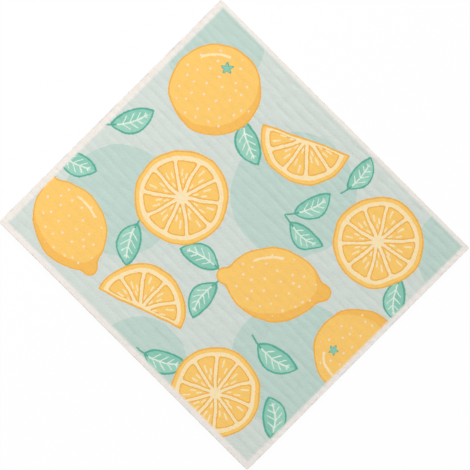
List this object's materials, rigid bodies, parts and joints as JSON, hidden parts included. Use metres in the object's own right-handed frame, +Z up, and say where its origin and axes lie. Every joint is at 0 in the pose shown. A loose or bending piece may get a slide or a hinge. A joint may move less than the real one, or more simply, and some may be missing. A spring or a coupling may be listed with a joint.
{
  "type": "sponge cloth",
  "caption": "Flat rectangular cellulose sponge cloth with fine ribs along its long side on the printed face, a smooth back and plain cut edges, for wiping dishes and worktops.",
  "frame": {"origin": "under the middle of the sheet, in the plane of its smooth underside", "axes": "+X along the ribs and the long side, +Y along the short side, +Z up, out of the printed face"},
  "size_m": [0.2, 0.179, 0.0022],
  "materials": {
    "printed_cellulose_sponge": "dry matt cellulose sponge, off-white, printed on its ribbed face in pale mint, yellow and green"
  },
  "bodies": {
    "root": {"cloth_sheet": "printed_cellulose_sponge"}
  },
  "joints": []
}
